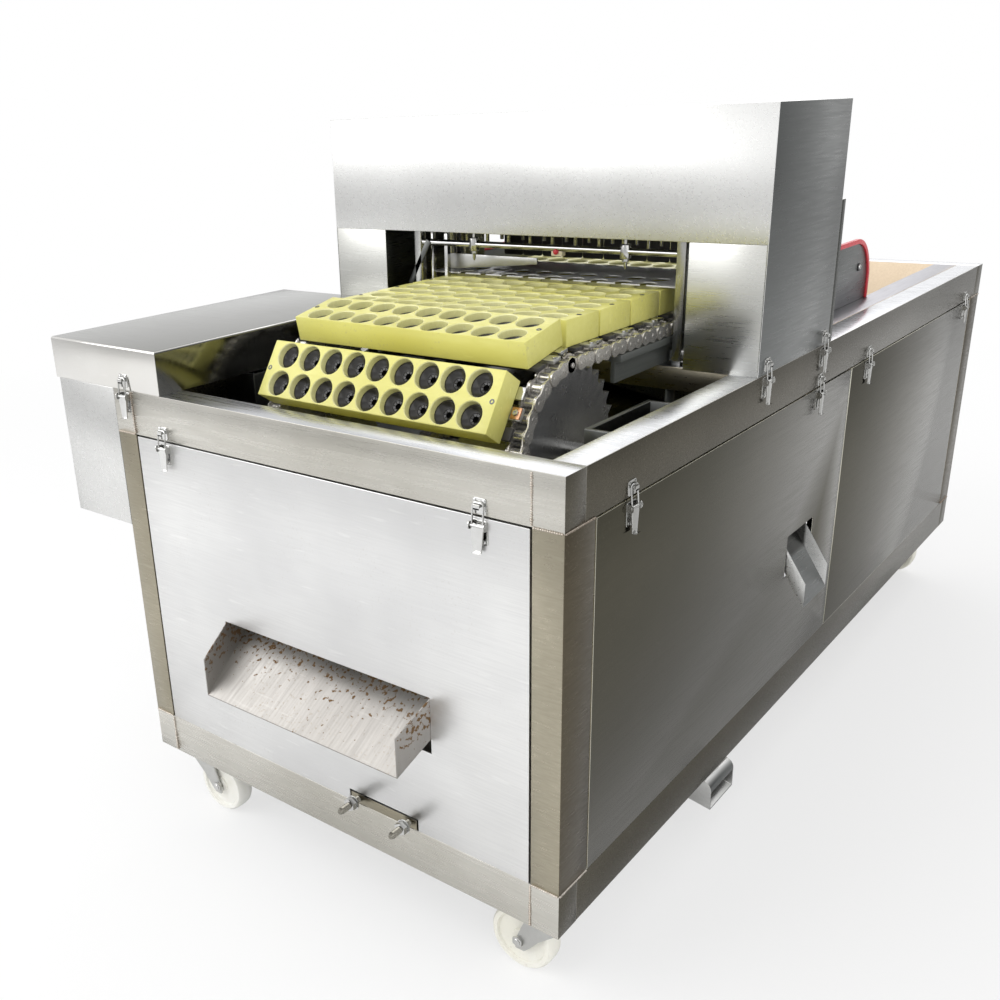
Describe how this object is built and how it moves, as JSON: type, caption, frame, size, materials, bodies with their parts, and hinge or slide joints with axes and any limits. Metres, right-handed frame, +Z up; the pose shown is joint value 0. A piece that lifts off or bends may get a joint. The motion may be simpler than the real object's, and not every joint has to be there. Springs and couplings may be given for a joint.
{
  "type": "cherry pitting machine",
  "caption": "Floor-standing cherry pitter on casters: pocketed trays on a chain conveyor pass under a needle punch head, with side drive box, hopper and chutes.",
  "frame": {"origin": "on the floor under the middle of the machine's overall outline", "axes": "+Z up, the front with the fruit chute faces -Y, +X to the right seen from the front"},
  "size_m": [1.093, 2.087, 1.25],
  "materials": {
    "frame_steel": "brushed stainless tube",
    "panel_steel": "brushed stainless sheet",
    "red_rubber": "red rubber edging",
    "tray_plastic": "pale yellow food-grade plastic",
    "chain_steel": "bright chain steel",
    "machined_steel": "turned and ground steel",
    "motor_paint": "blue-grey enamel",
    "bearing_iron": "grey casting",
    "bracket_steel": "zinc-plated pressed steel",
    "guide_plastic": "white slide plastic",
    "cylinder_aluminium": "anodised tube",
    "latch_steel": "polished stainless pressing",
    "wheel_nylon": "white nylon"
  },
  "bodies": {
    "cabinet": {"frame_posts": "frame_steel", "cross_rails": "frame_steel", "side_rails": "frame_steel", "cross_beams": "frame_steel", "front_panel": "panel_steel", "right_front_panel": "panel_steel", "right_rear_panel": "panel_steel", "fixed_panels": "panel_steel", "side_box": "panel_steel", "side_box_lid": "panel_steel", "hood_shell": "panel_steel", "pillar_covers": "panel_steel", "hopper": "panel_steel", "hopper_guards": "panel_steel", "guard_trim": "red_rubber", "front_chute": "panel_steel", "pit_chute": "panel_steel", "juice_tray": "panel_steel", "adjuster_studs": "machined_steel", "stripper_plate": "panel_steel", "hood_crossbar": "machined_steel", "head_frame": "machined_steel", "gear_motor": "motor_paint", "bearing_units": "bearing_iron", "bearing_brackets": "bracket_steel", "chain_guides": "guide_plastic", "air_cylinders": "cylinder_aluminium", "latch_bodies": "latch_steel", "caster_plates": "bracket_steel"},
    "front_drive": {"front_shaft": "machined_steel", "front_trays": "tray_plastic", "front_chains": "chain_steel", "drive_gear": "machined_steel"},
    "rear_drive": {"rear_shaft": "machined_steel", "rear_trays": "tray_plastic", "rear_chains": "chain_steel"},
    "upper_strand": {"upper_trays": "tray_plastic", "upper_chains": "chain_steel"},
    "lower_strand": {"lower_trays": "tray_plastic", "lower_chains": "chain_steel"},
    "pinion": {"drive_pinion": "machined_steel"},
    "punch_head": {"needle_plate": "machined_steel", "needles": "machined_steel"},
    "latch_front_left": {"latch_lever_front_left": "latch_steel"},
    "latch_front_right": {"latch_lever_front_right": "latch_steel"},
    "latch_side_box": {"latch_lever_side_box": "latch_steel"},
    "latch_tower_front": {"latch_lever_tower_front": "latch_steel"},
    "latch_tower_rear": {"latch_lever_tower_rear": "latch_steel"},
    "latch_side_panel_1": {"latch_lever_side_panel_1": "latch_steel"},
    "latch_side_panel_2": {"latch_lever_side_panel_2": "latch_steel"},
    "latch_side_panel_3": {"latch_lever_side_panel_3": "latch_steel"},
    "latch_side_panel_4": {"latch_lever_side_panel_4": "latch_steel"},
    "swivel_front_left": {"caster_fork_front_left": "bracket_steel"},
    "wheel_front_left": {"caster_wheel_front_left": "wheel_nylon"},
    "swivel_front_right": {"caster_fork_front_right": "bracket_steel"},
    "wheel_front_right": {"caster_wheel_front_right": "wheel_nylon"},
    "swivel_rear_left": {"caster_fork_rear_left": "bracket_steel"},
    "wheel_rear_left": {"caster_wheel_rear_left": "wheel_nylon"},
    "swivel_rear_right": {"caster_fork_rear_right": "bracket_steel"},
    "wheel_rear_right": {"caster_wheel_rear_right": "wheel_nylon"}
  },
  "joints": [
    {"name": "front_shaft_turn", "type": "hinge", "parent": "cabinet", "child": "front_drive", "pos_m": [0.0772, -0.6745, 0.769], "axis": [1, 0, 0], "range_deg": [-7.2, 37.8]},
    {"name": "rear_shaft_turn", "type": "hinge", "parent": "cabinet", "child": "rear_drive", "pos_m": [0.0772, 0.4431, 0.769], "axis": [1, 0, 0], "range_deg": [-7.2, 37.8]},
    {"name": "upper_strand_run", "type": "slide", "parent": "cabinet", "child": "upper_strand", "axis": [0, -1, 0], "range_m": [-0.01627, 0.08536]},
    {"name": "lower_strand_run", "type": "slide", "parent": "cabinet", "child": "lower_strand", "axis": [0, 1, 0], "range_m": [-0.01627, 0.08536]},
    {"name": "pinion_turn", "type": "hinge", "parent": "cabinet", "child": "pinion", "pos_m": [-0.2878, -0.59495, 0.68945], "axis": [1, 0, 0], "range_deg": [-75.7, 14.5]},
    {"name": "punch_stroke", "type": "slide", "parent": "cabinet", "child": "punch_head", "axis": [0, 0, -1], "range_m": [0, 0.095]},
    {"name": "latch_front_left_lift", "type": "hinge", "parent": "cabinet", "child": "latch_front_left", "pos_m": [-0.2585, -0.9855, 0.754], "axis": [-1, 0, 0], "range_deg": [0, 150]},
    {"name": "latch_front_right_lift", "type": "hinge", "parent": "cabinet", "child": "latch_front_right", "pos_m": [0.3815, -0.9855, 0.754], "axis": [-1, 0, 0], "range_deg": [0, 150]},
    {"name": "latch_side_box_lift", "type": "hinge", "parent": "cabinet", "child": "latch_side_box", "pos_m": [-0.3485, -0.9855, 0.832], "axis": [-1, 0, 0], "range_deg": [0, 150]},
    {"name": "latch_tower_front_lift", "type": "hinge", "parent": "cabinet", "child": "latch_tower_front", "pos_m": [0.5155, -0.3655, 0.832], "axis": [0, -1, 0], "range_deg": [0, 150]},
    {"name": "latch_tower_rear_lift", "type": "hinge", "parent": "cabinet", "child": "latch_tower_rear", "pos_m": [0.5155, -0.1055, 0.832], "axis": [0, -1, 0], "range_deg": [0, 150]},
    {"name": "latch_side_panel_1_lift", "type": "hinge", "parent": "cabinet", "child": "latch_side_panel_1", "pos_m": [0.5155, -0.8095, 0.754], "axis": [0, -1, 0], "range_deg": [0, 150]},
    {"name": "latch_side_panel_2_lift", "type": "hinge", "parent": "cabinet", "child": "latch_side_panel_2", "pos_m": [0.5155, -0.1045, 0.754], "axis": [0, -1, 0], "range_deg": [0, 150]},
    {"name": "latch_side_panel_3_lift", "type": "hinge", "parent": "cabinet", "child": "latch_side_panel_3", "pos_m": [0.5155, 0.1675, 0.754], "axis": [0, -1, 0], "range_deg": [0, 150]},
    {"name": "latch_side_panel_4_lift", "type": "hinge", "parent": "cabinet", "child": "latch_side_panel_4", "pos_m": [0.5155, 0.9025, 0.754], "axis": [0, -1, 0], "range_deg": [0, 150]},
    {"name": "caster_front_left_swivel", "type": "hinge", "parent": "cabinet", "child": "swivel_front_left", "pos_m": [-0.3215, -0.9105, 0.119], "axis": [0, 0, 1], "continuous": true},
    {"name": "caster_front_left_roll", "type": "hinge", "parent": "swivel_front_left", "child": "wheel_front_left", "pos_m": [-0.2835, -0.9105, 0.055], "axis": [0, 1, 0], "continuous": true},
    {"name": "caster_front_right_swivel", "type": "hinge", "parent": "cabinet", "child": "swivel_front_right", "pos_m": [0.4485, -0.9105, 0.119], "axis": [0, 0, 1], "continuous": true},
    {"name": "caster_front_right_roll", "type": "hinge", "parent": "swivel_front_right", "child": "wheel_front_right", "pos_m": [0.4105, -0.9105, 0.055], "axis": [0, 1, 0], "continuous": true},
    {"name": "caster_rear_left_swivel", "type": "hinge", "parent": "cabinet", "child": "swivel_rear_left", "pos_m": [-0.3215, 0.9755, 0.119], "axis": [0, 0, 1], "continuous": true},
    {"name": "caster_rear_left_roll", "type": "hinge", "parent": "swivel_rear_left", "child": "wheel_rear_left", "pos_m": [-0.2835, 0.9755, 0.055], "axis": [0, 1, 0], "continuous": true},
    {"name": "caster_rear_right_swivel", "type": "hinge", "parent": "cabinet", "child": "swivel_rear_right", "pos_m": [0.4485, 0.9755, 0.119], "axis": [0, 0, 1], "continuous": true},
    {"name": "caster_rear_right_roll", "type": "hinge", "parent": "swivel_rear_right", "child": "wheel_rear_right", "pos_m": [0.4105, 0.9755, 0.055], "axis": [0, 1, 0], "continuous": true}
  ],
  "couplings": [
    {"joint": "rear_shaft_turn", "follows": "front_shaft_turn", "ratio": 1},
    {"joint": "upper_strand_run", "follows": "front_shaft_turn", "m_per_rad": 0.12936},
    {"joint": "lower_strand_run", "follows": "front_shaft_turn", "m_per_rad": 0.12936},
    {"joint": "pinion_turn", "follows": "front_shaft_turn", "ratio": -2}
  ]
}
